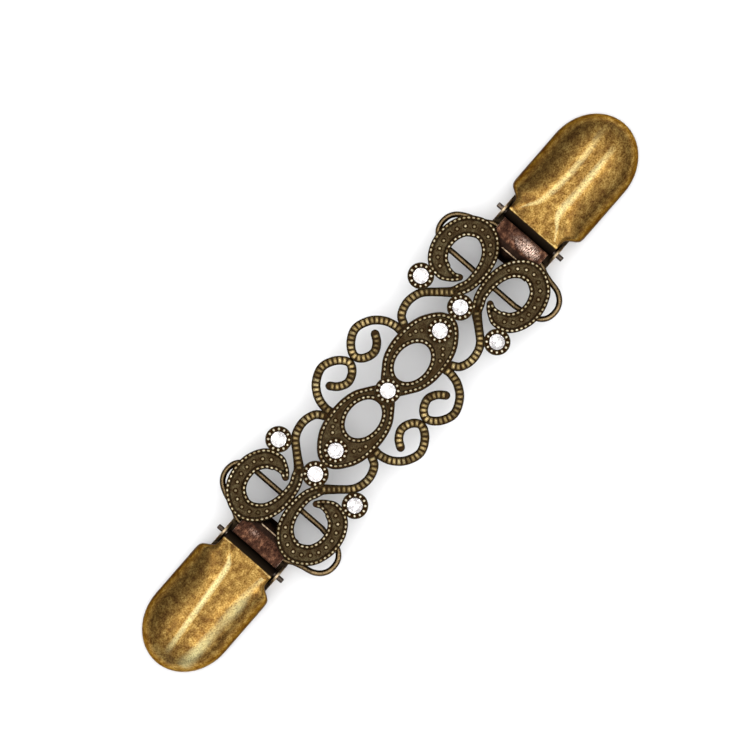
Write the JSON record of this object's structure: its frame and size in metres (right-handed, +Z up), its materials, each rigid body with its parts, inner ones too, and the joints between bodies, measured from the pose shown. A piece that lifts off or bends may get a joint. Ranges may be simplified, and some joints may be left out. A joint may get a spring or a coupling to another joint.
{
  "type": "sweater clip",
  "caption": "Pierced scroll casting set with clear stones, joined by wire rings to a domed lever clip at each end, to hold a cardigan's two edges together.",
  "frame": {"origin": "midway between the two clips, at the surface that the back plates rest on", "axes": "+X along the clip from the left lever to the right one, +Y across it, +Z up out of the stones"},
  "size_m": [0.136, 0.0284, 0.0076],
  "materials": {
    "antique_bronze": "cast, dark antique bronze with rubbed bright gold beads and ribs",
    "clear_stone": "clear faceted glass with a foiled back",
    "bronze_wire": "drawn wire, antique bronze plating",
    "clip_bronze": "stamped sheet, antique bronze plating",
    "copper_strip": "stamped strip, mottled antique copper plating",
    "antique_brass": "pressed sheet, mottled antique brass plating, satin",
    "pin_metal": "dull grey-brown pin"
  },
  "bodies": {
    "connector": {"filigree": "antique_bronze", "stone_centre": "clear_stone", "stone_inner_right": "clear_stone", "stone_inner_left": "clear_stone", "stone_tip_right": "clear_stone", "stone_tip_left": "clear_stone", "stone_upper_right": "clear_stone", "stone_lower_right": "clear_stone", "stone_upper_left": "clear_stone", "stone_lower_left": "clear_stone"},
    "right_ring": {"ring_right": "bronze_wire"},
    "right_clip": {"back_plate_right": "clip_bronze", "jaw_strip_right": "copper_strip", "hinge_pin_right": "pin_metal"},
    "right_lever": {"lever_right": "antique_brass"},
    "left_ring": {"ring_left": "bronze_wire"},
    "left_clip": {"back_plate_left": "clip_bronze", "jaw_strip_left": "copper_strip", "hinge_pin_left": "pin_metal"},
    "left_lever": {"lever_left": "antique_brass"}
  },
  "joints": [
    {"name": "right_ring_swing", "type": "hinge", "parent": "connector", "child": "right_ring", "pos_m": [0.028, 0, 0.00345], "axis": [0, -1, 0], "range_deg": [-90, 0]},
    {"name": "right_clip_tilt", "type": "hinge", "parent": "right_ring", "child": "right_clip", "pos_m": [0.0373, 0, 0.00345], "axis": [0, -1, 0], "range_deg": [0, 40]},
    {"name": "right_lever_open", "type": "hinge", "parent": "right_clip", "child": "right_lever", "pos_m": [0.0405, 0, 0.0059], "axis": [0, -1, 0], "range_deg": [0, 95]},
    {"name": "left_ring_swing", "type": "hinge", "parent": "connector", "child": "left_ring", "pos_m": [-0.028, 0, 0.00345], "axis": [0, 1, 0], "range_deg": [-90, 0]},
    {"name": "left_clip_tilt", "type": "hinge", "parent": "left_ring", "child": "left_clip", "pos_m": [-0.0373, 0, 0.00345], "axis": [0, 1, 0], "range_deg": [0, 40]},
    {"name": "left_lever_open", "type": "hinge", "parent": "left_clip", "child": "left_lever", "pos_m": [-0.0405, 0, 0.0059], "axis": [0, 1, 0], "range_deg": [0, 95]}
  ]
}
